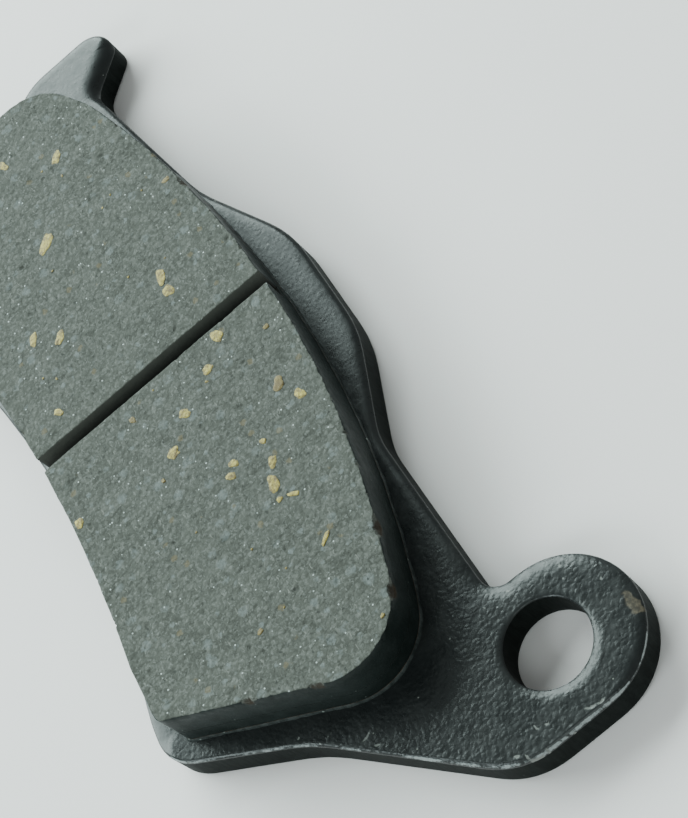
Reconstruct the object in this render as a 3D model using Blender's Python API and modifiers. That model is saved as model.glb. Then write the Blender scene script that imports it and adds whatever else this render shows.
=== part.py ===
"""Brake pad for a single-pin motorcycle caliper: a stamped steel backing plate with a pin lug at one
end and a hook at the other, and a friction block on it that a slot divides in two.

The pad lies on its back with the friction face up. +X points along the pad towards the pin lug, +Y
away from the disc's axis, and +Z out of the friction face. Outlines are drawn with x = 0 on the slot
and y = 0 on the crown of the block's outer edge, and the finished solids are then moved so that the
origin is the centre of the pad's bounding box on its back face.
"""

import math

import bmesh
import bpy
from mathutils import Vector

CLEARANCE = 0.0003  # gap between pieces that touch on the real pad

PLATE_THICKNESS = 0.0036
PLATE_FRONT_EDGE = 0.0009  # radius that stamping rolls onto the front edges
PLATE_BACK_EDGE = 0.00025

LUG_RADIUS = 0.0074
LUG_X = 0.0452
LUG_Y = 0.0021
PIN_HOLE_RADIUS = 0.0040
PIN_HOLE_X = 0.0448
PIN_HOLE_Y = 0.0009
PIN_HOLE_RIM = 0.0006

FILM_THICKNESS = 0.0002
UNDERLAYER_THICKNESS = 0.0010
FRICTION_THICKNESS = 0.0035
BLOCK_EDGE = 0.0003

OUTER_EDGE_RADII = (0.102, 0.118)  # of the edge that faces away from the disc's axis: pin side, hook side
INNER_EDGE_RADIUS = 0.143
BLOCK_WIDTH = 0.0271  # from the outer edge's crown to the inner edge's crown
BLOCK_OUTER_CORNER = (0.0414, -0.0088, 0.0067)  # x, y, radius
BLOCK_INNER_CORNER = (0.0301, -0.0295, 0.0010)
OUTER_EDGE_REACHES = (0.0334, 0.0315)  # where the outer edge's arc ends and its corner begins
OUTER_EDGE_EASE = 0.010  # rounding where that arc meets the straight stretch to the corner
INNER_EDGE_REACH = 0.0240  # where the inner edge's arc ends and a straight stretch leads to its corner
SLOT_WIDTH = 0.00155

PLATE_INNER_CROWN = -0.0286
PLATE_INNER_RADIUS = 0.105
PLATE_INNER_REACH = 0.026  # half of the stretch that the inner arc covers before its corners

KEY_HOLE_RADIUS = 0.0032
KEY_HOLES = [(-0.0250, -0.0170), (-0.0110, -0.0145), (0.0110, -0.0145), (0.0250, -0.0170)]

ARC_STEP = math.radians(8)
PLATE_ARC_STEPS = 12
INNER_ARC_STEPS = 5
OUTER_ARC_STEPS = 6
ROUND_SIDES = 48
RIM_STEPS = 4
EDGE_SEGMENTS = 3
CREASE = math.radians(35)  # edges sharper than this stay sharp in the shading
FLAT = math.radians(1)  # faces that meet at less than this are joined
WELD = 0.000001  # points closer than this are merged
RIM_WELD = 0.00001
CUT_MARGIN = 0.001  # how far a cutter runs past the faces that it cuts through

FILM_BOTTOM = PLATE_THICKNESS + CLEARANCE
UNDERLAYER_BOTTOM = FILM_BOTTOM + FILM_THICKNESS + CLEARANCE
FRICTION_BOTTOM = UNDERLAYER_BOTTOM + UNDERLAYER_THICKNESS + CLEARANCE
FRICTION_TOP = FRICTION_BOTTOM + FRICTION_THICKNESS

# Corners of the plate as x, y, radius, anticlockwise as seen from the front.
LUG_SIDE_CORNERS = [
    (0.0380, -0.0205, 0.015),  # where the slanted edge turns along the block's end
    (0.0526, -0.0068, 0.008),
    (LUG_X + LUG_RADIUS, LUG_Y + LUG_RADIUS, LUG_RADIUS),
    (LUG_X - LUG_RADIUS, LUG_Y + LUG_RADIUS, LUG_RADIUS),
    (LUG_X - LUG_RADIUS, -0.0007, 0.002),  # root of the lug
]
HUMP_CORNERS = [
    (0.0180, -0.0007, 0.008),
    (0.0071, 0.0036, 0.014),
    (-0.0068, 0.0038, 0.014),
    (-0.0184, -0.0012, 0.014),
]
HOOK_SIDE_CORNERS = [
    (-0.0383, -0.0043, 0.0025),  # notch beside the hook
    (-0.0420, 0.0002, 0.0014),
    (-0.0455, 0.0002, 0.0027),
    (-0.0455, -0.0095, 0.006),
    (-0.0386, -0.0195, 0.015),
]
PLATE_FOOT = (0.0306, -0.0325, 0.0045)  # inner corner under the pin end, and its mirror under the hook end


def clear_scene():
    for old in list(bpy.data.objects):
        bpy.data.objects.remove(old, do_unlink=True)


def new_collection(name):
    collection = bpy.data.collections.new(name)
    bpy.context.scene.collection.children.link(collection)
    return collection


def material(name, color, roughness, metallic):
    made = bpy.data.materials.new(name)
    made.use_nodes = True
    shader = made.node_tree.nodes["Principled BSDF"]
    shader.inputs["Base Color"].default_value = (*color, 1)
    shader.inputs["Roughness"].default_value = roughness
    shader.inputs["Metallic"].default_value = metallic
    return made


def rounded_outline(corners):
    """The closed polygon through the corners, each (x, y, radius) replaced by its tangent arc."""
    points = []
    for i, (x, y, radius) in enumerate(corners):
        corner = Vector((x, y))
        if radius == 0:
            points.append(corner)
            continue
        before = (Vector(corners[i - 1][:2]) - corner).normalized()
        after = (Vector(corners[(i + 1) % len(corners)][:2]) - corner).normalized()
        half = before.angle(after) / 2
        center = corner + (before + after).normalized() * radius / math.sin(half)
        start = corner + before * radius / math.tan(half) - center
        turn = math.pi - 2 * half
        if before.cross(after) > 0:
            turn = -turn
        steps = max(2, math.ceil(abs(turn) / ARC_STEP))
        for step in range(steps + 1):
            angle = turn * step / steps
            across = Vector((-start.y, start.x))
            points.append(center + start * math.cos(angle) + across * math.sin(angle))
    return points


def arc_y(x, crown_y, radius):
    """Height at x of an arc that bulges towards +Y and has its crown at (0, crown_y)."""
    return crown_y - radius + math.sqrt(radius**2 - x**2)


def arc_corners(x_start, x_end, crown_y, radius, steps):
    """Points along such an arc, as corners with no rounding."""
    xs = [x_start + (x_end - x_start) * i / steps for i in range(steps + 1)]
    return [(x, arc_y(x, crown_y, radius), 0) for x in xs]


def mirrored(corners):
    """The corners reflected in x = 0, in the order that keeps the outline anticlockwise."""
    return [(-x, y, radius) for x, y, radius in reversed(corners)]


def plate_outline():
    reach = PLATE_INNER_REACH
    inner_edge = arc_corners(-reach, reach, PLATE_INNER_CROWN, PLATE_INNER_RADIUS, PLATE_ARC_STEPS)
    corners = LUG_SIDE_CORNERS + HUMP_CORNERS + HOOK_SIDE_CORNERS
    return rounded_outline(corners + mirrored([PLATE_FOOT]) + inner_edge + [PLATE_FOOT])


def block_half_corners(x_start, side):
    """The block's edges on the pin side, from x_start on the inner edge round to x_start on the outer.

    Side 0 takes the outer edge of the pin side, side 1 that of the hook side, still to be reflected.
    """
    inner_reach = (x_start, INNER_EDGE_REACH)
    inner_edge = arc_corners(*inner_reach, -BLOCK_WIDTH, INNER_EDGE_RADIUS, INNER_ARC_STEPS)
    outer_reach = (OUTER_EDGE_REACHES[side], x_start)
    outer_edge = arc_corners(*outer_reach, 0, OUTER_EDGE_RADII[side], OUTER_ARC_STEPS)
    outer_edge[0] = (*outer_edge[0][:2], OUTER_EDGE_EASE)
    return inner_edge + [BLOCK_INNER_CORNER, BLOCK_OUTER_CORNER] + outer_edge


def block_outline():
    return rounded_outline(block_half_corners(0, 0) + mirrored(block_half_corners(0, 1)[1:-1]))


def friction_outline(side):
    """One half of the block beside the slot, on the pin side (+1) or the hook side (-1)."""
    start = SLOT_WIDTH / 2
    if side > 0:
        return rounded_outline(block_half_corners(start, 0))
    return rounded_outline(mirrored(block_half_corners(start, 1)))


def put(collection, name, mesh, x, y, z):
    made = bpy.data.objects.new(name, mesh)
    made.location = (x, y, z)
    collection.objects.link(made)
    return made


def slab(collection, name, outline, bottom, top, origin):
    """A closed solid over the outline's area, from height bottom to height top."""
    curve = bpy.data.curves.new(name + "_outline", "CURVE")
    curve.dimensions = "2D"
    curve.fill_mode = "BOTH"
    curve.extrude = (top - bottom) / 2
    spline = curve.splines.new("POLY")
    spline.points.add(len(outline) - 1)
    for point, place in zip(spline.points, outline):
        point.co = (place.x, place.y, 0, 1)
    spline.use_cyclic_u = True
    guide = put(collection, name + "_outline", curve, -origin.x, -origin.y, (top + bottom) / 2)
    graph = bpy.context.evaluated_depsgraph_get()
    mesh = bpy.data.meshes.new_from_object(guide.evaluated_get(graph))
    mesh.name = name
    made = put(collection, name, mesh, 0, 0, 0)
    made.matrix_world = guide.matrix_world
    bpy.data.objects.remove(guide, do_unlink=True)
    solid = bmesh.new()
    solid.from_mesh(mesh)
    bmesh.ops.remove_doubles(solid, verts=solid.verts, dist=WELD)
    bmesh.ops.dissolve_limit(solid, angle_limit=FLAT, verts=solid.verts, edges=solid.edges)
    bmesh.ops.recalc_face_normals(solid, faces=solid.faces)
    solid.to_mesh(mesh)
    solid.free()
    return made


def round_edges(part, front_radius, back_radius):
    """Bevels the edges round the front face, and round the back face with its own radius."""
    solid = bmesh.new()
    solid.from_mesh(part.data)
    weight = solid.edges.layers.float.new("bevel_weight_edge")
    for edge in solid.edges:
        heights = [corner.co.z for corner in edge.verts]
        if min(heights) > 0:
            edge[weight] = 1
        elif max(heights) < 0:
            edge[weight] = back_radius / front_radius
    solid.to_mesh(part.data)
    solid.free()
    bevel = part.modifiers.new("rounded_edges", "BEVEL")
    bevel.limit_method = "WEIGHT"
    bevel.width = front_radius
    bevel.segments = EDGE_SEGMENTS


def combine(part, other, operation):
    boolean = part.modifiers.new(other.name, "BOOLEAN")
    boolean.operation = operation
    boolean.object = other
    boolean.solver = "EXACT"


def hide_cutter(cutter):
    cutter.hide_render = True
    cutter.display_type = "WIRE"


def round_cutter(collection, name, radius, place, bottom, top):
    """An upright cylinder from height bottom to height top."""
    cylinder = bmesh.new()
    bmesh.ops.create_cone(
        cylinder, cap_ends=True, segments=ROUND_SIDES, radius1=radius, radius2=radius, depth=top - bottom
    )
    mesh = bpy.data.meshes.new(name)
    cylinder.to_mesh(mesh)
    cylinder.free()
    cutter = put(collection, name, mesh, place.x, place.y, (top + bottom) / 2)
    hide_cutter(cutter)
    return cutter


def pin_hole_cutter(collection, origin):
    """The pin hole's space: a round hole whose rim opens with a radius at the front face."""
    wide = PIN_HOLE_RADIUS + PIN_HOLE_RIM
    top = PLATE_THICKNESS + CUT_MARGIN
    profile = [(0, top), (wide, top)]
    for step in range(RIM_STEPS + 1):
        angle = math.radians(90 + 90 * step / RIM_STEPS)
        x = wide + PIN_HOLE_RIM * math.cos(angle)
        z = PLATE_THICKNESS - PIN_HOLE_RIM + PIN_HOLE_RIM * math.sin(angle)
        profile.append((x, z))
    profile += [(PIN_HOLE_RADIUS, -CUT_MARGIN), (0, -CUT_MARGIN)]
    mesh = bpy.data.meshes.new("pin_hole")
    edges = [(i, i + 1) for i in range(len(profile) - 1)]
    mesh.from_pydata([(x, 0, z) for x, z in profile], edges, [])
    cutter = put(collection, "pin_hole", mesh, PIN_HOLE_X - origin.x, PIN_HOLE_Y - origin.y, 0)
    screw = cutter.modifiers.new("turned", "SCREW")
    screw.axis = "Z"
    screw.steps = ROUND_SIDES
    screw.render_steps = ROUND_SIDES
    screw.use_merge_vertices = True
    screw.merge_threshold = RIM_WELD
    hide_cutter(cutter)
    return cutter


def finish_part(part, surface):
    part.data.shade_smooth()
    part.data.set_sharp_from_angle(angle=CREASE)
    part.data.materials.clear()
    part.data.materials.append(surface)


def backing_plate(pad, cutters, outline, origin, key_places):
    plate = slab(pad, "backing_plate", outline, 0, PLATE_THICKNESS, origin)
    round_edges(plate, PLATE_FRONT_EDGE, PLATE_BACK_EDGE)
    combine(plate, pin_hole_cutter(cutters, origin), "DIFFERENCE")
    for i, place in enumerate(key_places):
        name = f"key_hole_{i + 1}"
        top = PLATE_THICKNESS + CUT_MARGIN
        hole = round_cutter(cutters, name, KEY_HOLE_RADIUS, place, -CUT_MARGIN, top)
        combine(plate, hole, "DIFFERENCE")
    finish_part(plate, material("powder_coat", (0.012, 0.013, 0.014), 0.38, 0.0))


def adhesive_film(pad, cutters, origin, key_places):
    film = slab(pad, "adhesive_film", block_outline(), FILM_BOTTOM, FILM_BOTTOM + FILM_THICKNESS, origin)
    for i, place in enumerate(key_places):
        name = f"film_hole_{i + 1}"
        bottom, top = FILM_BOTTOM - CUT_MARGIN, FILM_BOTTOM + CUT_MARGIN
        hole = round_cutter(cutters, name, KEY_HOLE_RADIUS, place, bottom, top)
        combine(film, hole, "DIFFERENCE")
    finish_part(film, material("adhesive", (0.10, 0.045, 0.018), 0.45, 0.0))


def underlayer(pad, cutters, origin, key_places):
    """The moulded layer under the friction material, with a plug down into each of the plate's holes."""
    top = UNDERLAYER_BOTTOM + UNDERLAYER_THICKNESS
    layer = slab(pad, "underlayer", block_outline(), UNDERLAYER_BOTTOM, top, origin)
    for i, place in enumerate(key_places):
        middle = UNDERLAYER_BOTTOM + UNDERLAYER_THICKNESS / 2
        name = f"plug_{i + 1}"
        plug = round_cutter(cutters, name, KEY_HOLE_RADIUS - CLEARANCE, place, CLEARANCE, middle)
        combine(layer, plug, "UNION")
    finish_part(layer, material("underlayer", (0.055, 0.050, 0.042), 0.85, 0.0))


def friction_block(pad, name, side, surface, origin):
    block = slab(pad, name, friction_outline(side), FRICTION_BOTTOM, FRICTION_TOP, origin)
    round_edges(block, BLOCK_EDGE, BLOCK_EDGE)
    finish_part(block, surface)


def main():
    clear_scene()
    pad = new_collection("brake_pad")
    cutters = new_collection("cutters")
    outline = plate_outline()
    xs = [point.x for point in outline]
    ys = [point.y for point in outline]
    origin = Vector(((min(xs) + max(xs)) / 2, (min(ys) + max(ys)) / 2))
    key_places = [Vector(place) - origin for place in KEY_HOLES]
    backing_plate(pad, cutters, outline, origin, key_places)
    adhesive_film(pad, cutters, origin, key_places)
    underlayer(pad, cutters, origin, key_places)
    compound = material("friction_compound", (0.115, 0.120, 0.112), 0.9, 0.0)
    friction_block(pad, "friction_block_pin_side", 1, compound, origin)
    friction_block(pad, "friction_block_hook_side", -1, compound, origin)


main()
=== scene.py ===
"""Looks of the brake pad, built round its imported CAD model.

The pad lies on its back, friction face up. Every outline comes from a cut through a CAD node, so each
detailed piece keeps the size and place of the solid that it stands for. Lengths are in metres.
"""

import math
import random

import bmesh
import bpy
import numpy as np
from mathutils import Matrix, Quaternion, Vector, geometry, kdtree, noise


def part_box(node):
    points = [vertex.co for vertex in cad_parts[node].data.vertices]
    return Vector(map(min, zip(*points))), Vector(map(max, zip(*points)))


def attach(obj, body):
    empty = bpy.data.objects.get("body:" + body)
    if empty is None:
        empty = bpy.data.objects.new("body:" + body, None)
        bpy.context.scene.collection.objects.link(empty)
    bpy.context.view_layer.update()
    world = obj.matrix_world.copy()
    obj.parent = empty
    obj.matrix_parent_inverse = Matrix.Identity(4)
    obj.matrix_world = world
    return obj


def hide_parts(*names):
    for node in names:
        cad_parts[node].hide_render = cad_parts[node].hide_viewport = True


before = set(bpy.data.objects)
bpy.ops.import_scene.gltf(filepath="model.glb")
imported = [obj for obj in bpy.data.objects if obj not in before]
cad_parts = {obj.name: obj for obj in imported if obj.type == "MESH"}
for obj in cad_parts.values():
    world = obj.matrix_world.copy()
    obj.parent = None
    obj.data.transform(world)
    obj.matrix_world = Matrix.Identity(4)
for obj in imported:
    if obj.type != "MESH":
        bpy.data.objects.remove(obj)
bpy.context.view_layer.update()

MM = 0.001

PLATE_LOW, PLATE_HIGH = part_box("backing_plate")
FILM_LOW, FILM_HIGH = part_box("adhesive_film")
LAYER_LOW, LAYER_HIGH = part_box("underlayer")
PIN_LOW, PIN_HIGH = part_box("friction_block_pin_side")
_, HOOK_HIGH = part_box("friction_block_hook_side")

PLATE_TOP = PLATE_HIGH.z
FACE_TOP = PIN_HIGH.z
SLOT_X = (PIN_LOW.x + HOOK_HIGH.x) / 2
BLOCK_CROWN_Y = LAYER_HIGH.y
LUG_OFFSET = np.array([0.4, 1.2]) * MM  # the lug's round is centred a little off its hole
LAYER_BOTTOM = FILM_HIGH.z - 0.15 * MM
JOINT = 0.02 * MM  # hairline between pieces that are bonded together
TUCK = 0.05 * MM  # how far the adhesive and the hidden keying holes start below the plate's front

WALL_END = 3.3 * MM  # how far below the plate's front its wall begins to turn in to the back
BACK_EDGE = 3.52 * MM  # how far down the turn to the back is a ring of its own
PEBBLE = 0.021 * MM  # height of the powder coat's texture
SUNK = 0.03 * MM  # depth of a nick or chip in the coat
CHIP = 0.40 * MM  # how far the deepest breaks along the friction blocks' edges reach in
FILM_BULGE = 0.11 * MM  # how far the adhesive squeezed out along the block's foot
FLECK_DEPTH = 0.25 * MM  # thickness of the brass flecks below the friction face

# Numbers of the materials on the plate, the film, the underlayer and the friction blocks.
COAT, SIDES = 0, 1
BEAD, BOND = 0, 1
LAYER_PAINT, LAYER_CUT = 0, 1
FACE, PAINT, CUT = 0, 1, 2


# ---- outlines from the frame ----


def section(node, height):
    """The closed outlines of a CAD node cut at a height, largest first, each anticlockwise."""
    cut = bmesh.new()
    cut.from_mesh(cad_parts[node].data)
    bmesh.ops.remove_doubles(cut, verts=cut.verts, dist=0.001 * MM)
    everything = cut.verts[:] + cut.edges[:] + cut.faces[:]
    level = {"plane_co": (0, 0, height), "plane_no": (0, 0, 1)}
    bmesh.ops.bisect_plane(cut, geom=everything, clear_inner=True, clear_outer=True, **level)
    loops = []
    # Sorted by place, so that every run walks each outline from the same corner.
    unseen = sorted(cut.edges, key=lambda edge: tuple(edge.verts[0].co + edge.verts[1].co))
    while unseen:
        edge = unseen.pop()
        start, corner = edge.verts
        loop = [corner.co.xy]
        while corner != start:
            edge = next(e for e in corner.link_edges if e in unseen)
            unseen.remove(edge)
            corner = edge.other_vert(corner)
            loop.append(corner.co.xy)
        loop = np.array(loop)
        if area(loop) < 0:
            loop = loop[::-1]
        loops.append(loop)
    cut.free()
    return sorted(loops, key=area, reverse=True)


def area(loop):
    """The area inside the loop, which is negative when it runs clockwise."""
    x, y = loop.T
    return (x @ np.roll(y, -1) - y @ np.roll(x, -1)) / 2


def resample(loop, spacing, smooth=0.0):
    """The loop with evenly spaced points, its facets smoothed over about the given length."""
    closed = np.vstack([loop, loop[:1]])
    run = np.concatenate([[0], np.cumsum(np.hypot(*np.diff(closed, axis=0).T))])
    count = round(run[-1] / spacing)
    places = np.arange(count) * run[-1] / count
    even = np.column_stack([np.interp(places, run, closed[:, i]) for i in (0, 1)])
    if smooth:
        reach = math.ceil(3 * smooth / spacing)
        steps = np.arange(-reach, reach + 1)
        weights = np.exp(-0.5 * (steps * spacing / smooth) ** 2)
        weights /= weights.sum()
        even = sum(w * np.roll(even, s, axis=0) for w, s in zip(weights, steps))
    return even


def outward(loop):
    """The direction out of the loop at each point, or into it when the loop runs clockwise."""
    along = np.roll(loop, -1, axis=0) - np.roll(loop, 1, axis=0)
    along /= np.hypot(*along.T)[:, None]
    return np.column_stack([along[:, 1], -along[:, 0]])


def inside(points, loops):
    """Which points lie within an odd number of the loops."""
    hit = np.zeros(len(points), bool)
    x, y = points.T
    for loop in loops:
        for (x0, y0), (x1, y1) in zip(loop, np.roll(loop, -1, axis=0)):
            if y0 != y1:
                crosses = (y0 > y) != (y1 > y)
                hit ^= crosses & (x < x0 + (y - y0) * (x1 - x0) / (y1 - y0))
    return hit


# ---- noise ----


def waves(points, size, seed=0):
    """Smooth noise between about -1 and 1, with features of the given size, at points of 2 or 3 values."""
    shift = np.array([17.3, 5.1, 9.7]) * seed
    padded = np.zeros((len(points), 3))
    padded[:, : points.shape[1]] = points / size
    return np.array([noise.noise(Vector(p)) for p in padded + shift])


def step(values, low, high):
    """A smooth rise from 0 at low to 1 at high."""
    t = np.clip((values - low) / (high - low), 0, 1)
    return t * t * (3 - 2 * t)


# ---- mesh building ----


class Skin:
    """Gathers the points, faces, per-face materials and per-point values of one piece."""

    def __init__(self, *values):
        self.points = []
        self.faces = []
        self.slots = []
        self.values = {name: [] for name in values}
        self.count = 0

    def add(self, xy, z, **values):
        """Adds points and returns their numbers."""
        xyz = np.column_stack([xy, np.broadcast_to(z, len(xy))])
        self.points.append(xyz)
        for name, stored in self.values.items():
            stored.append(np.broadcast_to(values.get(name, 0.0), len(xy)))
        self.count += len(xy)
        return np.arange(self.count - len(xy), self.count)

    def bridge(self, first, second, slot=0):
        """Quads between two rings with the same number of points; slot is one number or one per quad."""
        quads = np.column_stack([first, np.roll(first, -1), np.roll(second, -1), second])
        self.faces += quads.tolist()
        self.slots += np.broadcast_to(slot, len(quads)).tolist()

    def cap(self, rings, grid, grid_ids, up, slot=0):
        """Triangles over the area between the rings, through the grid points inside it."""
        everything = np.vstack(self.points)
        flat = [everything[ring, :2] for ring in rings]
        ids = np.concatenate([*rings, grid_ids]).astype(int)
        corners = np.vstack([*flat, grid]) if len(grid) else np.vstack(flat)
        edges = []
        first = 0
        for ring in rings:
            numbers = np.arange(first, first + len(ring))
            edges += np.column_stack([numbers, np.roll(numbers, -1)]).tolist()
            first += len(ring)
        # The triangulation works in millimetres, because its smallest distance is absolute.
        scaled = [Vector(c) for c in corners / MM]
        _, _, faces, origins, _, _ = geometry.delaunay_2d_cdt(scaled, edges, [], 0, 1e-6)
        back = np.array([ids[o[0]] if o else -1 for o in origins])
        triangles = back[np.array(faces)]
        triangles = triangles[(triangles >= 0).all(axis=1)]
        middles = everything[triangles, :2].mean(axis=1)
        triangles = triangles[inside(middles, flat)]
        if not up:
            triangles = triangles[:, ::-1]
        self.faces += triangles.tolist()
        self.slots += [slot] * len(triangles)

    def build(self, name, materials):
        """The finished piece, linked into the scene."""
        mesh = bpy.data.meshes.new(name)
        mesh.from_pydata(np.vstack(self.points).tolist(), [], self.faces)
        for attribute, stored in self.values.items():
            layer = mesh.attributes.new(attribute, "FLOAT", "POINT")
            layer.data.foreach_set("value", np.concatenate(stored).astype(np.float32))
        for material in materials:
            mesh.materials.append(material)
        mesh.polygons.foreach_set("material_index", self.slots)
        mesh.shade_smooth()
        mesh.set_sharp_from_angle(angle=math.radians(60))
        piece = bpy.data.objects.new(name, mesh)
        bpy.context.scene.collection.objects.link(piece)
        return piece


def spread(loops, spacing, clear, seed):
    """Jittered points on a triangular grid over the area between the loops, clear of their edges."""
    draw = np.random.default_rng(seed)
    low = loops[0].min(axis=0)
    high = loops[0].max(axis=0)
    rise = spacing * math.sqrt(3) / 2
    xs, ys = np.meshgrid(np.arange(low[0], high[0], spacing), np.arange(low[1], high[1], rise))
    xs = xs + (np.arange(len(xs)) % 2)[:, None] * spacing / 2
    points = np.column_stack([xs.ravel(), ys.ravel()])
    points += draw.uniform(-0.2, 0.2, points.shape) * spacing
    points = points[inside(points, loops)]
    return points[far_from(points, loops, clear)]


def far_from(points, loops, clear):
    """Which points keep further than the given distance from every point of the loops."""
    edge = np.vstack(loops)
    tree = kdtree.KDTree(len(edge))
    for i, (x, y) in enumerate(edge):
        tree.insert((x, y, 0), i)
    tree.balance()
    return np.array([tree.find((x, y, 0))[2] > clear for x, y in points], bool)


# ---- materials ----


def new_material(name):
    material = bpy.data.materials.new(name)
    material.use_nodes = True
    return material, material.node_tree, material.node_tree.nodes["Principled BSDF"]


def connect(tree, made, inputs):
    """Links a node's inputs to sockets, or sets them to plain values."""
    for name, value in inputs.items():
        if isinstance(value, bpy.types.NodeSocket):
            tree.links.new(value, made.inputs[name])
        else:
            made.inputs[name].default_value = value


def node(tree, kind, inputs=None, **settings):
    """Adds a node, sets its settings, and sets or links its inputs."""
    made = tree.nodes.new(kind)
    for name, value in settings.items():
        setattr(made, name, value)
    connect(tree, made, inputs or {})
    return made


def millimetres(tree):
    """The piece's own coordinates in millimetres."""
    place = node(tree, "ShaderNodeTexCoord").outputs["Object"]
    scale = {0: place, "Scale": 1 / MM}
    return node(tree, "ShaderNodeVectorMath", scale, operation="SCALE").outputs["Vector"]


def warped(tree, place, per_mm):
    """The place pushed by up to half a millimetre along each axis, so that round cells turn ragged."""
    push = node(tree, "ShaderNodeTexNoise", {"Vector": place, "Scale": per_mm}).outputs["Color"]
    half = {0: push, "Scale": 0.5}
    push = node(tree, "ShaderNodeVectorMath", half, operation="SCALE").outputs["Vector"]
    return node(tree, "ShaderNodeVectorMath", {0: place, 1: push}, operation="ADD").outputs["Vector"]


def grain(tree, vector, per_mm, detail=2.0, roughness=0.5):
    inputs = {"Vector": vector, "Scale": per_mm, "Detail": detail, "Roughness": roughness}
    return node(tree, "ShaderNodeTexNoise", inputs).outputs["Fac"]


def cells(tree, vector, per_mm):
    """Distance to the nearest of scattered points, and that point's own random colour."""
    return node(tree, "ShaderNodeTexVoronoi", {"Vector": vector, "Scale": per_mm})


def between(tree, value, low, high, to_low=0.0, to_high=1.0):
    """The value's smooth rise from low to high, mapped to another range."""
    inputs = {0: value, 1: low, 2: high, 3: to_low, 4: to_high}
    return node(tree, "ShaderNodeMapRange", inputs, interpolation_type="SMOOTHSTEP").outputs[0]


def maths(tree, operation, a, b):
    return node(tree, "ShaderNodeMath", {0: a, 1: b}, operation=operation).outputs[0]


def mix(tree, amount, a, b):
    """The colour between a and b; the node's inputs 6 and 7 and its output 2 are its colours."""
    a, b = (color if isinstance(color, bpy.types.NodeSocket) else (*color, 1) for color in (a, b))
    return node(tree, "ShaderNodeMix", {0: amount, 6: a, 7: b}, data_type="RGBA").outputs[2]


def attribute(tree, name):
    return node(tree, "ShaderNodeAttribute", attribute_name=name).outputs["Fac"]


def bump(tree, height, strength, distance, below=None):
    inputs = {"Height": height, "Strength": strength, "Distance": distance}
    if below:
        inputs["Normal"] = below
    return node(tree, "ShaderNodeBump", inputs).outputs["Normal"]


def specks(tree, place, per_mm, share, radius):
    """A mask of round specks: the given share of scattered points, with the given radius in cell widths."""
    spots = cells(tree, place, per_mm)
    chosen = node(tree, "ShaderNodeSeparateColor", {0: spots.outputs["Color"]}).outputs[0]
    picked = maths(tree, "LESS_THAN", chosen, share)
    near = between(tree, spots.outputs["Distance"], radius, radius * 0.6)
    return maths(tree, "MULTIPLY", picked, near)


def powder_coat():
    """Black powder coat, pebbled, rubbed pale on its edges, which also paints a highlight there, and
    chipped to primer in places.
    """
    material, tree, shader = new_material("powder_coat")
    place = millimetres(tree)
    shade = between(tree, grain(tree, place, 0.35, 3), 0.3, 0.7)
    color = mix(tree, shade, (0.0100, 0.0115, 0.0118), (0.0165, 0.0180, 0.0180))
    # The pale rubbed edge is partly wear and partly a painted highlight along the rolled corner.
    rub_and_highlight = maths(tree, "MULTIPLY", attribute(tree, "edge"), grain(tree, place, 2.0, 4, 0.8))
    rub_and_highlight = between(tree, rub_and_highlight, 0.30, 0.48)
    color = mix(tree, rub_and_highlight, color, (0.25, 0.27, 0.27))
    scratched = between(tree, attribute(tree, "nick"), 0.15, 0.7)
    color = mix(tree, scratched, color, (0.15, 0.155, 0.145))
    chipped = between(tree, attribute(tree, "chip"), 0.32, 0.85)
    primer = between(tree, grain(tree, place, 2.2, 4, 0.65), 0.35, 0.65)
    primer = mix(tree, primer, (0.038, 0.031, 0.022), (0.104, 0.084, 0.058))
    color = mix(tree, chipped, color, primer)
    dust = specks(tree, place, 0.8, 0.14, 0.07)
    color = mix(tree, dust, color, (0.16, 0.165, 0.15))
    rough = between(tree, grain(tree, place, 0.9, 3), 0.3, 0.7, 0.26, 0.36)
    rough = maths(tree, "MAXIMUM", rough, maths(tree, "MULTIPLY", chipped, 0.75))
    grainy = attribute(tree, "grainy")
    spots = cells(tree, warped(tree, place, 1.8), 2.2)
    beads = between(tree, spots.outputs["Distance"], 0.0, 0.85, 1.0, 0.0)
    pebbled = bump(tree, beads, grainy, 0.020 * MM)
    soft = bump(tree, grain(tree, place, 3.3, 1, 0.5), grainy, 0.010 * MM, pebbled)
    looks = {"Base Color": color, "Roughness": rough, "Normal": soft, "Specular IOR Level": 0.37}
    connect(tree, shader, looks)
    return material


def side_coat_with_painted_shade():
    """The same coat on the plate's sheared sides, thinner, duller and faintly drawn along the shear; its
    colour is darker than the front's as a painted shade.
    """
    material, tree, shader = new_material("side_coat_with_painted_shade")
    place = millimetres(tree)
    drawn = node(tree, "ShaderNodeMapping", {"Vector": place, "Scale": (2.2, 2.2, 0.35)}).outputs["Vector"]
    shade = between(tree, grain(tree, drawn, 1.0, 4, 0.6), 0.3, 0.7)
    # Darker than the front's coat, dust included: a painted shade on the sides.
    color = mix(tree, shade, (0.0040, 0.0056, 0.0050), (0.0085, 0.0110, 0.0100))
    dust = specks(tree, place, 1.0, 0.12, 0.07)
    color = mix(tree, dust, color, (0.07, 0.075, 0.07))
    lumps = bump(tree, grain(tree, drawn, 1.6, 3, 0.6), 0.7, 0.05 * MM)
    looks = {"Base Color": color, "Roughness": 0.60, "Normal": lumps, "Specular IOR Level": 0.06}
    connect(tree, shader, looks)
    return material


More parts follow.
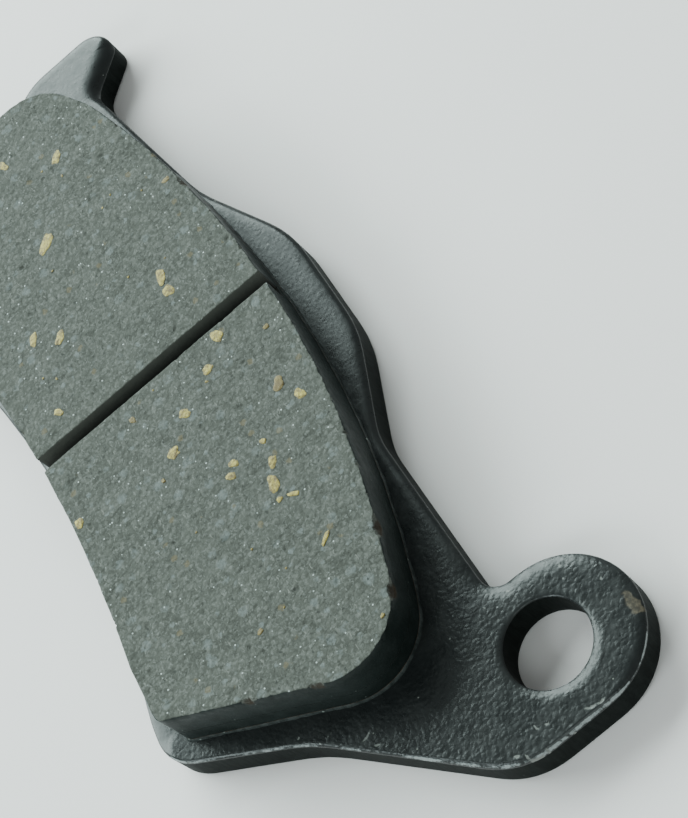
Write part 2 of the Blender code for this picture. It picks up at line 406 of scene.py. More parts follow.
def block_paint():
    """Thin black paint over the moulded sides of the block, smoother than the plate's coat."""
    material, tree, shader = new_material("block_paint")
    place = millimetres(tree)
    shade = between(tree, grain(tree, place, 0.5, 3), 0.3, 0.7)
    color = mix(tree, shade, (0.009, 0.013, 0.012), (0.016, 0.021, 0.020))
    dust = specks(tree, place, 1.3, 0.20, 0.09)
    color = mix(tree, dust, color, (0.15, 0.165, 0.155))
    broken = between(tree, attribute(tree, "broken"), 0.25, 0.8)
    color = mix(tree, broken, color, (0.034, 0.025, 0.017))
    rough = between(tree, grain(tree, place, 1.2, 3), 0.3, 0.7, 0.44, 0.56)
    rough = maths(tree, "MAXIMUM", rough, maths(tree, "MULTIPLY", broken, 0.85))
    lumps = bump(tree, grain(tree, place, 1.4, 2), 0.6, 0.05 * MM)
    fine = bump(tree, grain(tree, place, 6.0, 3, 0.6), 0.8, 0.020 * MM, lumps)
    looks = {"Base Color": color, "Roughness": rough, "Normal": fine, "Specular IOR Level": 0.14}
    connect(tree, shader, looks)
    return material


def compound_colors(tree, place):
    """The friction compound's mix of grey binder, packed grains, pale flakes and fibres."""
    torn = warped(tree, place, 2.5)
    drawn = {"Vector": place, "Rotation": (0, 0, 0.25), "Scale": (1.0, 0.5, 1.0)}
    drawn = node(tree, "ShaderNodeMapping", drawn).outputs["Vector"]
    blotch = between(tree, grain(tree, drawn, 0.60, 5, 0.62), 0.34, 0.66)
    color = mix(tree, blotch, (0.040, 0.042, 0.034), (0.068, 0.071, 0.060))
    ridges = between(tree, grain(tree, drawn, 2.6, 4, 0.65), 0.38, 0.62)
    color = mix(tree, maths(tree, "MULTIPLY", ridges, 0.5), color, (0.090, 0.094, 0.082))
    packed = cells(tree, torn, 2.9)
    tone = node(tree, "ShaderNodeSeparateColor", {0: packed.outputs["Color"]}).outputs[1]
    light = maths(tree, "MULTIPLY", maths(tree, "POWER", tone, 3.0), 0.40)
    color = mix(tree, light, color, (0.160, 0.166, 0.150))
    small = cells(tree, torn, 5.6)
    tone = node(tree, "ShaderNodeSeparateColor", {0: small.outputs["Color"]}).outputs[0]
    pale = maths(tree, "MULTIPLY", maths(tree, "POWER", tone, 4.0), 0.5)
    color = mix(tree, pale, color, (0.195, 0.204, 0.190))
    gaps = between(tree, packed.outputs["Distance"], 0.40, 0.80)
    color = mix(tree, maths(tree, "MULTIPLY", gaps, 0.30), color, (0.026, 0.028, 0.022))
    for per_mm, share, strength in ((0.55, 0.40, 0.60), (1.0, 0.22, 0.75)):
        blots = specks(tree, torn, per_mm, share, 0.34)
        uneven = between(tree, grain(tree, place, 2.0, 3, 0.7), 0.30, 0.62)
        blots = maths(tree, "MULTIPLY", maths(tree, "MULTIPLY", blots, uneven), strength)
        color = mix(tree, blots, color, (0.155, 0.176, 0.174))
    ochre = specks(tree, torn, 0.62, 0.20, 0.24)
    color = mix(tree, maths(tree, "MULTIPLY", ochre, 0.55), color, (0.140, 0.112, 0.060))
    grains = specks(tree, torn, 1.5, 0.12, 0.25)
    color = mix(tree, maths(tree, "MULTIPLY", grains, 0.7), color, (0.022, 0.024, 0.020))
    turned = {"Vector": torn, "Rotation": (0, 0, 0.9), "Scale": (0.75, 4.5, 1.0)}
    streaks = specks(tree, node(tree, "ShaderNodeMapping", turned).outputs["Vector"], 1.0, 0.10, 0.30)
    color = mix(tree, maths(tree, "MULTIPLY", streaks, 0.55), color, (0.200, 0.205, 0.185))
    glints = specks(tree, place, 2.3, 0.07, 0.22)
    color = mix(tree, glints, color, (0.400, 0.445, 0.430))
    height = maths(tree, "SUBTRACT", maths(tree, "MULTIPLY", tone, 0.35), packed.outputs["Distance"])
    return color, glints, height


def friction_face():
    """Ground friction compound, darkened in its pits as painted shade, and brown where its edge has broken.
    """
    material, tree, shader = new_material("friction_compound")
    place = millimetres(tree)
    color, glints, height = compound_colors(tree, place)
    # Painted shade: the compound's colour is darkened in its pits.
    pits = attribute(tree, "pit")
    color = mix(tree, maths(tree, "MULTIPLY", pits, 0.45), color, (0.028, 0.030, 0.024))
    broken = maths(tree, "MULTIPLY", attribute(tree, "broken"), grain(tree, place, 1.6, 3))
    color = mix(tree, between(tree, broken, 0.16, 0.40), color, (0.030, 0.023, 0.016))
    rough = between(tree, glints, 0.0, 1.0, 0.86, 0.42)
    packed = bump(tree, height, 0.8, 0.045 * MM)
    fine = bump(tree, grain(tree, place, 5.5, 3, 0.65), 0.7, 0.050 * MM, packed)
    looks = {"Base Color": color, "Roughness": rough, "Normal": fine, "Specular IOR Level": 0.35}
    connect(tree, shader, looks)
    return material


def bead_paint_and_highlight():
    """Paint over the squeezed-out adhesive at the block's foot, lighter than the block's paint and dotted
    with grey dust, which together paint a highlight along the seam.
    """
    material, tree, shader = new_material("bead_paint_and_highlight")
    place = millimetres(tree)
    # Lighter than the block's paint: a painted highlight along the bead.
    shade = between(tree, grain(tree, place, 1.6, 4, 0.65), 0.35, 0.65)
    color = mix(tree, shade, (0.014, 0.018, 0.017), (0.044, 0.050, 0.049))
    # Grey dust, dense enough to be a painted highlight as well.
    dust = specks(tree, place, 1.7, 0.34, 0.24)
    color = mix(tree, dust, color, (0.21, 0.23, 0.215))
    lumps = bump(tree, grain(tree, place, 3.5, 3), 0.8, 0.03 * MM)
    looks = {"Base Color": color, "Roughness": 0.48, "Normal": lumps, "Specular IOR Level": 0.35}
    connect(tree, shader, looks)
    return material


def cut_compound():
    """The slot's walls and floor, unpainted, with painted shade: darkest at the bottom and lighter towards
    the face.
    """
    material, tree, shader = new_material("cut_compound")
    place = millimetres(tree)
    shade = between(tree, grain(tree, place, 1.8, 4, 0.65), 0.35, 0.65)
    color = mix(tree, shade, (0.010, 0.011, 0.009), (0.024, 0.024, 0.019))
    # Painted shade: the slot's colour goes from dark at the bottom to lighter towards the face.
    height = node(tree, "ShaderNodeSeparateXYZ", {0: place}).outputs["Z"]
    painted_shade_ramp = maths(tree, "MULTIPLY", between(tree, height, 6.6, 9.3), 0.85)
    color = mix(tree, painted_shade_ramp, color, (0.060, 0.062, 0.052))
    lumps = bump(tree, grain(tree, place, 4.0, 4, 0.7), 0.8, 0.06 * MM)
    connect(tree, shader, {"Base Color": color, "Roughness": 0.92, "Normal": lumps})
    return material


def brass():
    """Brass, dulled and partly smeared over with compound."""
    material, tree, shader = new_material("brass")
    place = millimetres(tree)
    shade = between(tree, grain(tree, place, 2.2, 3, 0.6), 0.32, 0.62)
    shade = maths(tree, "MULTIPLY", shade, attribute(tree, "bright"))
    color = mix(tree, shade, (0.088, 0.058, 0.014), (0.310, 0.248, 0.050))
    lumps = bump(tree, grain(tree, place, 3.5, 3), 0.8, 0.06 * MM)
    connect(tree, shader, {"Base Color": color, "Metallic": 0.30, "Roughness": 0.50, "Normal": lumps})
    return material


def adhesive():
    """Brown bonding adhesive, seen only where the pieces are taken apart."""
    material, tree, shader = new_material("adhesive")
    place = millimetres(tree)
    shade = between(tree, grain(tree, place, 0.8, 3), 0.3, 0.7)
    color = mix(tree, shade, (0.08, 0.036, 0.014), (0.13, 0.06, 0.024))
    connect(tree, shader, {"Base Color": color, "Roughness": 0.45})
    return material


def floor_material():
    """The pale floor, very slightly mottled."""
    material, tree, shader = new_material("floor")
    place = millimetres(tree)
    shade = between(tree, grain(tree, place, 0.05, 3), 0.3, 0.7)
    color = mix(tree, shade, (0.92, 0.85, 0.85), (0.94, 0.87, 0.87))
    connect(tree, shader, {"Base Color": color, "Roughness": 0.7})
    return material


# ---- backing plate ----


def pebbles(points):
    """Height of the powder coat's texture, from -1 to 1."""
    return 0.6 * waves(points, 0.42 * MM, 1) + 0.4 * waves(points, 0.27 * MM, 2)


# Nicks in the coat, placed as on the reference pad: x and y from the slot and the outer edge's crown,
# length and width, in millimetres, and turn in degrees.
NICKS = [
    (51.9, 0.7, 0.8, 0.14, 70),
    (52.1, 1.8, 0.6, 0.14, 100),
    (52.7, -4.0, 0.8, 0.16, 30),
    (52.4, -5.1, 0.9, 0.12, 75),
    (52.0, -5.7, 0.6, 0.14, 20),
    (51.2, -6.4, 0.4, 0.12, 60),
    (50.6, -2.9, 0.9, 0.09, 80),
    (50.2, -3.8, 0.5, 0.10, 10),
    (51.4, -1.6, 0.5, 0.10, 120),
    (41.0, -16.0, 0.7, 0.10, 110),
    (42.2, -15.6, 0.5, 0.08, 60),
    (38.6, -18.8, 0.6, 0.08, 95),
    (39.9, 5.5, 0.25, 0.20, 0),
    (43.4, 7.6, 0.2, 0.18, 0),
]


CHIP_TURN = 76  # direction of the chip on the lug's shoulder, seen from the lug's middle, in degrees
CHIP_SPREAD = 13  # how far it reaches to either side of that direction, in degrees
CHIP_RADIUS = 6.55  # its distance from the lug's middle, in millimetres


def bare_metal(xy, lug):
    """Where the coat has chipped off the lug's shoulder, and where it is nicked."""
    reach = xy - lug
    turn = np.degrees(np.arctan2(reach[:, 1], reach[:, 0]))
    radius = np.hypot(*reach.T)
    ragged = waves(xy, 0.60 * MM, 3) + 0.7 * waves(xy, 0.25 * MM, 4)
    along = 1 - np.abs(turn - CHIP_TURN) / CHIP_SPREAD
    middle = CHIP_RADIUS * MM - 0.03 * MM * (turn - 78)
    across = 1 - np.abs(radius - middle) / ((0.45 + 0.020 * (86 - turn)) * MM)
    chip = np.minimum(along * 2.0, across * 1.5) + 0.7 * ragged
    chip = np.where(np.abs(turn - 74) < 20, chip, 0.0)
    nicks = np.zeros(len(xy))
    for x, y, length, width, turn in NICKS:
        off = xy - [SLOT_X + x * MM, BLOCK_CROWN_Y + y * MM]
        c, s = math.cos(math.radians(turn)), math.sin(math.radians(turn))
        lengthwise, sideways = off @ [c, s], off @ [-s, c]
        bowed = sideways - lengthwise**2 / (2.0 * MM)
        nick = 1 - np.hypot(lengthwise / (length * MM), bowed / (width * MM))
        nicks = np.maximum(nicks, nick * (1 + ragged))
    return np.clip(chip, 0, 1), np.clip(1.6 * nicks, 0, 1)


def grainy(xy):
    """How strongly the coat is pebbled: most round the lug, and least at the hook end."""
    return 0.30 + 0.70 * step(xy[:, 0], 20 * MM, 37 * MM)


def rolled_rings(skin, loop, into, edge, lug):
    """The rings of a plate edge from the flat front, over the rolled band, down the wall to the back.

    The edge gives, at each point of the loop, the rolled band's width and depth, how steep it ends,
    the radius of the corner outside it and how rubbed that corner is, with a painted highlight along it.
    """
    width, depth, steep, corner, rub_and_highlight = (np.broadcast_to(value, len(loop)) for value in edge)
    lean = np.arctan(depth / width * (2 * (1 - steep) + 5 * steep))  # of the band where the corner begins
    levels = []  # inset, drop, wear with its painted highlight, and the way that the coat's texture swells, if it does
    for t in np.linspace(0, 1, 10):
        inset = width * (1 - t) + corner * (1 - np.sin(lean)) * t
        drop = depth * ((1 - steep) * t**2 + steep * t**5)
        levels.append((inset, drop, 0.30 * rub_and_highlight * step(t, 0.85, 1.0), "up"))
    for share, wear_and_highlight, way in ((0.25, 0.9, "up"), (0.5, 1.0, "up"), (0.75, 0.7, "out"), (1.0, 0.3, "out")):
        angle = lean + (math.pi / 2 - lean) * share
        drop = depth + corner * (np.cos(lean) - np.cos(angle))
        levels.append((corner * (1 - np.sin(angle)), drop, wear_and_highlight * rub_and_highlight, way))
    coated = len(levels)
    wall = levels[-1][1] + 0.1 * MM
    for share in (0.0, 0.14, 0.28, 0.42, 0.57, 0.71, 0.85, 1.0):
        levels.append((0.0, wall + share * (WALL_END - wall), 0.0, "out" if share < 0.8 else None))
    levels.append((0.05 * MM, BACK_EDGE, 0.0, None))
    levels.append((0.18 * MM, PLATE_TOP, 0.0, None))
    rings = []
    for number, (inset, drop, worn, way) in enumerate(levels):
        xy = loop + into * np.broadcast_to(inset, len(loop))[:, None]
        drop = np.broadcast_to(drop, len(loop))
        texture = PEBBLE * grainy(xy) * pebbles(np.column_stack([xy, -drop]))
        z = PLATE_TOP - drop + (texture if way == "up" else 0.0)
        if way == "out":
            xy = xy - into * (0.5 * texture)[:, None]
        wear_and_highlight = worn * (0.85 + 0.7 * waves(xy, 2.4 * MM, 6))
        chip, nicks = bare_metal(xy, lug) if number < coated else (0.0, 0.0)
        sunk = SUNK * step(np.maximum(chip, nicks), 0.45, 0.6)
        rings.append(skin.add(xy, z - sunk, edge=wear_and_highlight, chip=chip, nick=nicks, grainy=grainy(xy)))
    for number, (first, second) in enumerate(zip(rings, rings[1:])):
        skin.bridge(first, second, COAT if number < coated - 1 else SIDES)
    return rings


def outer_edge(loop):
    """How the plate's outline is rolled over, as rolled_rings takes it."""
    out = outward(loop)
    x, y = loop.T
    horn = step(-x, 38.5 * MM, 41.5 * MM) * step(out @ [0.76, 0.65], 0.3, 0.9) * step(y, 5.5 * MM, 8.0 * MM)
    foot = step(np.hypot(x - SLOT_X - 29 * MM, y - BLOCK_CROWN_Y + 31 * MM), 8 * MM, 4 * MM)
    foot *= step(-out[:, 0], -0.55, 0.0)
    brow = step(x, 26 * MM, 32 * MM) * step(out @ [-0.66, 0.75], 0.2, 0.8)  # of the lug, over its hole
    slant = step(out @ [0.85, -0.52], 0.5, 0.9)  # the edge between the foot and the lug
    width = 1.20 + 0.9 * horn + 1.4 * foot + 0.8 * brow - 0.75 * slant
    depth = 0.30 + 0.66 * horn - 0.02 * foot + 0.08 * brow - 0.25 * slant
    steep = 0.6 - 0.4 * foot - 0.35 * brow
    tip = step(x, 40 * MM, 46 * MM) * step(out[:, 0], 0.2, 0.7)  # the lug's far side
    corner = 0.18 + 0.16 * slant + 0.18 * tip
    # How rubbed the corner is, which also sets a painted highlight along it.
    rub_and_highlight = np.maximum(slant, 1.15 * tip)
    return width * MM, depth * MM, steep, corner * MM, rub_and_highlight


def hole_edge(loop):
    """The same as outer_edge, for the pin hole, which is worn wide on the side towards the lug's tip."""
    worn = 0.5 - 0.5 * outward(loop)[:, 0]
    width = (0.45 + 0.85 * worn) * MM
    return width, (0.08 + 0.20 * worn) * MM, 0.6 - 0.6 * worn, 0.14 * MM, 0.35 * worn


def build_plate(materials):
    """The stamped plate, with its rolled outer edge, worn pin hole and hidden keying holes."""
    outline, *holes = section("backing_plate", PLATE_TOP / 2)
    outline = resample(outline, 0.20 * MM, 0.30 * MM)
    pin_hole = resample(holes[0], 0.16 * MM, 0.30 * MM)
    key_holes = [resample(hole, 0.5 * MM) for hole in holes[1:]]
    lug = pin_hole.mean(axis=0) + LUG_OFFSET
    # The edge value is the rubbed corners' wear together with their painted highlight.
    skin = Skin("edge", "chip", "nick", "grainy")

    outer = rolled_rings(skin, outline, -outward(outline), outer_edge(outline), lug)
    # The hole is walked the other way round, so that its faces look into it.
    hole = pin_hole[::-1]
    inner = rolled_rings(skin, hole, -outward(hole), hole_edge(hole), lug)
    fronts = [outer[0], inner[0]]
    backs = [outer[-1], inner[-1]]
    for key_hole in key_holes:
        walls = [skin.add(key_hole[::-1], PLATE_TOP - TUCK), skin.add(key_hole[::-1], 0.0)]
        skin.bridge(*walls, SIDES)
        fronts.append(walls[0])
        backs.append(walls[1])

    everything = np.vstack(skin.points)
    edges = [everything[ring, :2] for ring in fronts]
    block = resample(section("underlayer", (LAYER_LOW.z + LAYER_HIGH.z) / 2)[0], 0.5 * MM)
    hidden = block - outward(block) * 0.8 * MM
    seen = spread(edges, 0.15 * MM, 0.09 * MM, 1)
    seen = seen[~inside(seen, [hidden])]
    below = spread(edges, 1.3 * MM, 0.7 * MM, 2)
    below = below[inside(below, [block - outward(block) * 1.5 * MM])]
    grid = np.vstack([seen, below])
    chip, nicks = bare_metal(grid, lug)
    height = PLATE_TOP + PEBBLE * grainy(grid) * pebbles(grid) + 0.02 * MM * waves(grid, 7 * MM, 7)
    height -= SUNK * step(np.maximum(chip, nicks), 0.45, 0.6)
    ids = skin.add(grid, height, chip=chip, nick=nicks, grainy=grainy(grid))
    skin.cap(fronts, grid, ids, up=True, slot=COAT)

    everything = np.vstack(skin.points)
    under = spread([everything[ring, :2] for ring in backs], 1.5 * MM, 0.8 * MM, 3)
    skin.cap(backs, under, skin.add(under, 0.0), up=False, slot=COAT)
    plate = skin.build("steel_plate", materials)
    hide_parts("backing_plate")
    return plate


# ---- friction blocks ----


def face_relief(xy):
    """Height of the ground face below its highest grains, and how much of each point is a pit, for the
    painted shade there.
    """
    pits = step(waves(xy, 0.9 * MM, 11) + 0.5 * waves(xy, 0.4 * MM, 12), 0.50, 0.90)
    small = step(waves(xy, 0.42 * MM, 13), 0.46, 0.70)
    grains = 0.5 + 0.5 * waves(xy, 0.45 * MM, 14)
    furrows = np.abs(waves(xy * [1.0, 0.45], 0.8 * MM, 15))
    swells = 0.5 + 0.5 * waves(xy, 1.3 * MM, 16)
    depth = 0.09 * pits + 0.05 * small + 0.045 * grains + 0.03 * furrows + 0.04 * swells
    return -depth * MM, np.clip(0.7 * pits + 0.6 * small, 0, 1)


def block_walls(xy, z):
    """How far the moulded sides of the block stand proud of their outline."""
    points = np.column_stack([xy, np.full(len(xy), z)])
    return 0.035 * MM * waves(points, 2.6 * MM, 21) + 0.010 * MM * waves(points, 0.6 * MM, 22)


# Breaks along the block's upper edge, placed as on the reference pad: x and y from the slot and the
# outer edge's crown, and length, in millimetres.
BREAKS = [(29, -4.4, 1.3), (34.8, -6.4, 1.1), (34, -21.5, 1.0), (37.5, -16.5, 0.5), (-15.5, -1.5, 1.2)]


def edge_damage(loop):
    """How broken the block's upper edge is at each point, and how it frays between the breaks."""
    ragged = waves(loop, 0.5 * MM, 32) + 0.6 * waves(loop, 0.25 * MM, 33)
    chip = 0.55 * step(waves(loop, 1.7 * MM, 31) + 0.45 * ragged, 0.40, 0.95)
    for x, y, length in BREAKS:
        off = loop - [SLOT_X + x * MM, BLOCK_CROWN_Y + y * MM]
        dent = np.exp(-((np.hypot(*off.T) / (length / 1.6 * MM)) ** 2))
        chip = np.maximum(chip, dent * (1 + 0.5 * ragged))
    fray = (0.11 * waves(loop, 0.8 * MM, 34) + 0.10 * waves(loop, 0.36 * MM, 35)) * MM
    return np.clip(chip, 0, 1), fray


def build_friction(name, cad_node, materials, seed):
    """A friction block: its ground face, its frayed edge and its walls, cut along the slot."""
    low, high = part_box(cad_node)
    loop = resample(section(cad_node, (low.z + high.z) / 2)[0], 0.15 * MM, 0.15 * MM)
    out = outward(loop)
    slot_wall = (np.abs(loop[:, 0] - SLOT_X) < 1.2 * MM) & (np.abs(out[:, 0]) > 0.7)
    chip, fray = edge_damage(loop)
    chip = chip * np.where(slot_wall, 0.3, 1.0)
    fray = fray * np.where(slot_wall, 0.6, 1.0)
    skin = Skin("pit", "broken")
    rings = []
    edge = [(0.12, 1.00, 0.0, 0.10), (0.05, 0.80, 0.04, 0.70), (0.0, 0.30, 0.11, 1.70)]
    for number, (inset, chip_in, drop, chip_down) in enumerate(edge):
        reach = np.maximum(inset * MM + chip_in * CHIP * chip + fray * (1 - 0.35 * number), 0)
        xy = loop - out * reach[:, None] + out * block_walls(loop, FACE_TOP)[:, None]
        relief, pit = face_relief(xy)
        z = FACE_TOP - drop * MM - chip_down * CHIP * chip + relief * (1 - 0.35 * number)
        rings.append(skin.add(xy, z, pit=pit * (1 - 0.4 * number), broken=chip * (0.7 + 0.3 * number)))
    for height in np.linspace(FACE_TOP - 1.0 * MM, low.z + JOINT, 6):
        xy = loop + out * block_walls(loop, height)[:, None]
        scuffed = 0.6 * chip if len(rings) == len(edge) else 0.0
        rings.append(skin.add(xy, height, broken=scuffed))
    side = np.where(slot_wall, CUT, PAINT)
    skin.bridge(rings[0], rings[1], FACE)
    skin.bridge(rings[1], rings[2], np.where(chip > 0.12, FACE, side))
    skin.bridge(rings[2], rings[3], side)
    for first, second in zip(rings[3:], rings[4:]):
        skin.bridge(first, second, side)
    top = np.vstack(skin.points)[rings[0], :2]
    grid = spread([top], 0.16 * MM, 0.10 * MM, seed)
    relief, pit = face_relief(grid)
    skin.cap([rings[0]], grid, skin.add(grid, FACE_TOP + relief, pit=pit), up=True, slot=FACE)
    bottom = np.vstack(skin.points)[rings[-1], :2]
    under = spread([bottom], 1.5 * MM, 0.8 * MM, seed + 1)
    skin.cap([rings[-1]], under, skin.add(under, low.z + JOINT), up=False, slot=CUT)
    piece = skin.build(name, materials)
    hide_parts(cad_node)
    return piece


# ---- brass flecks ----

# The larger flecks, measured on the reference pad and rounded, except the last five, which are guesses:
# x and y from the slot and the outer edge's crown, length and width, in millimetres, and turn in degrees.
FLECKS = [
    (-21, -15.5, 2.7, 1.2, 125),
    (-8, -7.9, 1.9, 1.0, 160),
    (-6.1, -8, 1.4, 1.2, 5),
    (-12.5, -21.5, 1.6, 0.9, 150),
    (-10.5, -19.2, 1.6, 1.0, 136),
    (1.9, -6.6, 1.6, 1.1, 33),
    (4.2, -9, 1.1, 1.1, 30),
    (10.7, -4.4, 1.6, 1.1, 150),
    (13.1, -3.3, 1.3, 1.0, 20),
    (6.4, -13, 1.3, 1.0, 50),
    (9, -15.8, 1.4, 1.1, 140),
    (14.3, -11.7, 1.1, 0.8, 60),
    (15.2, -12.5, 1.1, 0.8, 60),
    (14.5, -8.4, 0.7, 0.6, 45),
    (16.9, -8.7, 1.3, 0.9, 145),
    (18.8, -9.7, 2.0, 1.1, 163),
    (20.5, -10, 0.6, 0.6, 110),
    (21, -8.7, 1.3, 0.5, 60),
    (26.7, -8.5, 1.5, 0.5, 125),
    (8.2, -26.6, 1.2, 0.9, 170),
    (29.8, -17.6, 0.7, 0.5, 106),
    (36.3, -8.1, 0.5, 0.4, 120),
    (3, -17.4, 0.8, 0.6, 6),
    (10.7, -17.9, 0.5, 0.4, 0),
    (4.8, -2.4, 0.7, 0.5, 90),
    (-17, -2.3, 0.9, 0.6, 96),
    (-29, -10, 1.8, 0.9, 140),
    (-25.5, -21, 1.3, 0.9, 60),
    (-33, -15, 1.5, 0.8, 15),
    (-18, -25, 1.4, 0.8, 170),
    (-3.5, -23, 1.2, 0.7, 40),
]
# The places of those that are half buried.
DULL = [(10.7, -4.4), (10.7, -17.9), (4.8, -2.4), (-17, -2.3), (3, -17.4), (29.8, -17.6)]
SPECK_COUNT = 22  # small flecks scattered at random
SLOT_CLEAR = 1.4  # flecks nearer than this to the slot's middle are left out, in millimetres


def fleck_outline(length, width, turn, seed):
    """A ragged rounded square, stretched to about the given length and width and turned."""
    draw = random.Random(seed)
    angles = np.linspace(0, 2 * math.pi, 30, endpoint=False)
    wobble = np.ones(len(angles))
    for lobes, size in ((2, 0.07), (3, 0.09), (5, 0.05), (7, 0.03)):
        wobble += size * np.sin(lobes * angles + draw.uniform(0, 2 * math.pi))
    squared = np.column_stack([np.cos(angles), np.sin(angles)])
    squared = np.sign(squared) * np.abs(squared) ** 0.8
    shape = squared * [0.46 * length, 0.46 * width] * wobble[:, None]
    c, s = math.cos(math.radians(turn)), math.sin(math.radians(turn))
    return shape @ np.array([[c, s], [-s, c]])


def build_flecks(material):
    """Chips of brass set in the friction face, ground flush with its highest grains."""
    skin = Skin("bright")
    draw = random.Random(8)
    chips = list(FLECKS)
    for _ in range(SPECK_COUNT):
        place = (draw.uniform(-33, 33), draw.uniform(-25, -4))
        chips.append((*place, draw.uniform(0.2, 0.45), 0.25, draw.uniform(0, 180)))
    for number, (x, y, length, width, turn) in enumerate(chips):
        if abs(x) < SLOT_CLEAR:
            continue
        middle = np.array([SLOT_X + x * MM, BLOCK_CROWN_Y + y * MM])
        shape = fleck_outline(length * MM, width * MM, turn, number)
        bright = 0.15 if (x, y) in DULL else draw.uniform(0.7, 1.0)
        if length < 0.5:
            bright *= 0.5
        sunk = skin.add(middle + shape * 0.9, FACE_TOP - FLECK_DEPTH, bright=bright)
        rim = skin.add(middle + shape, FACE_TOP - 0.03 * MM, bright=bright * 0.5)
        tops = []
        for share, below in ((0.84, 0.012 * MM), (0.42, 0.008 * MM)):
            xy = middle + shape * share
            swell = 0.02 * MM * waves(xy, 0.3 * MM, 61)
            tops.append(skin.add(xy, FACE_TOP - below + swell, bright=bright))
        shoulder, core = tops
        skin.bridge(shoulder, rim)
        skin.bridge(rim, sunk)
        skin.bridge(core, shoulder)
        skin.faces += [core.tolist(), sunk[::-1].tolist()]
        skin.slots += [0, 0]
    piece = skin.build("brass_flecks", [material])
    return piece


# ---- underlayer and adhesive ----


def build_underlayer(materials):
    """The moulded layer under both blocks, with its plugs in the plate's holes."""
    plug_middle = (LAYER_LOW.z + LAYER_HIGH.z) / 4
    loop = resample(section("underlayer", (PIN_LOW.z + FILM_HIGH.z) / 2)[0], 0.25 * MM, 0.15 * MM)
    plugs = [resample(plug, 0.5 * MM) for plug in section("underlayer", plug_middle)]
    out = outward(loop)
    skin = Skin("pit", "broken")
    rings = []
    for height in np.linspace(PIN_LOW.z - JOINT, LAYER_BOTTOM, 5):
        rings.append(skin.add(loop + out * block_walls(loop, height)[:, None], height))
    for first, second in zip(rings, rings[1:]):
        skin.bridge(first, second, LAYER_PAINT)
    edge = np.vstack(skin.points)[rings[0], :2]
    grid = spread([edge], 0.35 * MM, 0.25 * MM, 41)
    slot_floor = np.abs(grid[:, 0] - SLOT_X) < 1.4 * MM
    coarse = spread([edge], 1.6 * MM, 0.9 * MM, 42)
    coarse = coarse[np.abs(coarse[:, 0] - SLOT_X) > 2.2 * MM]
    grid = np.vstack([grid[slot_floor], coarse])
    relief = -0.02 * MM - 0.05 * MM * np.abs(waves(grid, 0.7 * MM, 43))
    ids = skin.add(grid, PIN_LOW.z - JOINT + relief)
    skin.cap([rings[0]], grid, ids, up=True, slot=LAYER_CUT)
    bottoms = [rings[-1]]
    for plug in plugs:
        walls = [
            skin.add(plug[::-1], LAYER_BOTTOM),
            skin.add(plug[::-1], LAYER_LOW.z + 0.2 * MM),
        ]
        tip = plug[::-1] + outward(plug[::-1]) * 0.2 * MM
        walls.append(skin.add(tip, LAYER_LOW.z))
        bottoms.append(walls[0])
        # The plug hangs below the layer, so its rings are walked the way round that faces them out.
        skin.bridge(walls[1], walls[0], LAYER_CUT)
        skin.bridge(walls[2], walls[1], LAYER_CUT)
        skin.faces.append(walls[2].tolist())
        skin.slots.append(LAYER_CUT)
    under = spread([np.vstack(skin.points)[ring, :2] for ring in bottoms], 1.6 * MM, 0.9 * MM, 44)
    skin.cap(bottoms, under, skin.add(under, LAYER_BOTTOM), up=False, slot=LAYER_CUT)
    piece = skin.build("moulded_underlayer", materials)
    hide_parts("underlayer")
    return piece


def build_film(materials):
    """The adhesive between plate and underlayer, squeezed out into a small bead at the block's foot."""
    outline, *holes = section("adhesive_film", (FILM_LOW.z + FILM_HIGH.z) / 2)
    loop = resample(outline, 0.25 * MM, 0.15 * MM)
    out = outward(loop)
    swell = FILM_BULGE * (1 + 0.5 * waves(loop, 2.2 * MM, 51) + 0.35 * waves(loop, 0.7 * MM, 52))
    top = LAYER_BOTTOM - JOINT
    bottom = PLATE_TOP - TUCK
    skin = Skin("pit", "broken")
    rings = []
    for share, bulge in ((0.0, 0.05), (0.18, 0.45), (0.45, 0.85), (0.75, 1.15), (1.0, 1.3)):
        xy = loop + out * (swell * bulge + block_walls(loop, top))[:, None]
        rings.append(skin.add(xy, top + (bottom - top) * share))
    for first, second in zip(rings, rings[1:]):
        skin.bridge(first, second, BEAD)
    tops, bottoms = [rings[0]], [rings[-1]]
    for hole in holes:
        hole = resample(hole, 0.5 * MM)[::-1]
        walls = [skin.add(hole, top), skin.add(hole, bottom)]
        skin.bridge(*walls, BOND)
        tops.append(walls[0])
        bottoms.append(walls[1])
    for ends, height, up in ((tops, top, True), (bottoms, bottom, False)):
        grid = spread([np.vstack(skin.points)[ring, :2] for ring in ends], 1.7 * MM, 0.9 * MM, 53)
        skin.cap(ends, grid, skin.add(grid, height), up=up, slot=BOND)
    piece = skin.build("adhesive_bead", materials)
    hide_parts("adhesive_film")
    return piece


# ---- floor, lights and camera ----


def build_floor():
    """A pale plane just under the pad."""
    mesh = bpy.data.meshes.new("floor")
    surface = bmesh.new()
    bmesh.ops.create_grid(surface, x_segments=8, y_segments=8, size=1.5)
    surface.to_mesh(mesh)
    surface.free()
    mesh.materials.append(floor_material())
    floor = bpy.data.objects.new("floor", mesh)
    floor.location.z = PLATE_LOW.z - 0.2 * MM
    bpy.context.scene.collection.objects.link(floor)


def area_light(name, azimuth, elevation, distance, size, power, color):
    """A rectangular soft light aimed at the pad, from an azimuth where 0 is +X and 90 is +Y."""
    data = bpy.data.lights.new(name, "AREA")
    data.shape = "RECTANGLE"
    data.size, data.size_y = size
    data.energy = power
    data.color = color
    light = bpy.data.objects.new(name, data)
    a, e = math.radians(azimuth), math.radians(elevation)
    way = Vector((math.cos(a) * math.cos(e), math.sin(a) * math.cos(e), math.sin(e)))
    light.location = way * distance
    light.rotation_mode = "QUATERNION"
    light.rotation_quaternion = way.to_track_quat("Z", "Y")
    bpy.context.scene.collection.objects.link(light)


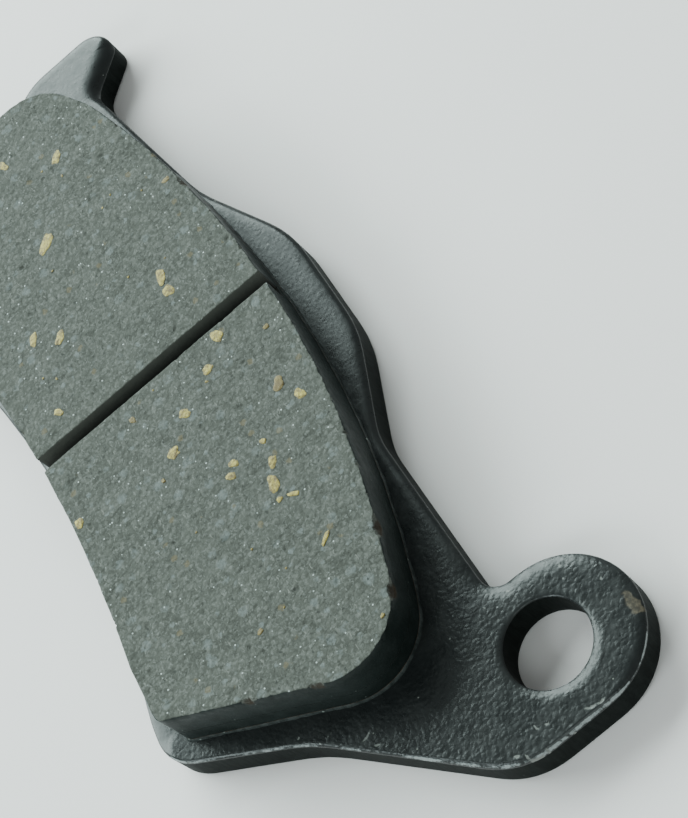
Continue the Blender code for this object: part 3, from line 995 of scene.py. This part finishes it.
def build_lights():
    """A broad cool window over the hook end, a small rim light, a weak fill and an even surround."""
    area_light("window", 202, 30, 0.75, (1.10, 0.50), 20.5, (0.82, 1.0, 0.97))
    area_light("rim", -64, 34, 0.70, (0.26, 0.26), 2.2, (0.84, 1.0, 1.0))
    area_light("fill", -6, 38, 0.90, (0.50, 0.40), 1.8, (0.84, 1.0, 0.97))
    world = bpy.data.worlds.new("studio")
    world.use_nodes = True
    background = world.node_tree.nodes["Background"]
    background.inputs["Color"].default_value = (0.88, 1.0, 0.97, 1)
    background.inputs["Strength"].default_value = 0.35
    bpy.context.scene.world = world


CAMERA_AZIMUTH = 101.23  # 0 looks along +Y and 90 looks along -X
CAMERA_ELEVATION = 52.53
CAMERA_ROLL = 49.05  # the pad stands nearly upright in the picture
CAMERA_DISTANCE = 0.2144
CAMERA_AIM = (0.0098, 0.0096, 0.0036)
CAMERA_LENS = 105.6


def build_camera():
    data = bpy.data.cameras.new("camera")
    data.lens = CAMERA_LENS
    data.sensor_width = 36
    data.clip_start = 0.01
    camera = bpy.data.objects.new("camera", data)
    a, e = math.radians(CAMERA_AZIMUTH), math.radians(CAMERA_ELEVATION)
    away = Vector((math.sin(a) * math.cos(e), -math.cos(a) * math.cos(e), math.sin(e)))
    upright = away.to_track_quat("Z", "Y")
    camera.rotation_mode = "QUATERNION"
    camera.rotation_quaternion = upright @ Quaternion((0, 0, 1), -math.radians(CAMERA_ROLL))
    camera.location = Vector(CAMERA_AIM) + away * CAMERA_DISTANCE
    bpy.context.scene.collection.objects.link(camera)
    bpy.context.scene.camera = camera


# ---- the scene ----

paint = block_paint()
face = friction_face()
cut = cut_compound()
pieces = [
    build_plate([powder_coat(), side_coat_with_painted_shade()]),
    build_film([bead_paint_and_highlight(), adhesive()]),
    build_underlayer([paint, cut]),
    build_friction("friction_pad_pin_side", "friction_block_pin_side", [face, paint, cut], 61),
    build_friction("friction_pad_hook_side", "friction_block_hook_side", [face, paint, cut], 63),
    build_flecks(brass()),
]
for piece in pieces:
    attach(piece, "root")

build_floor()
build_lights()
build_camera()
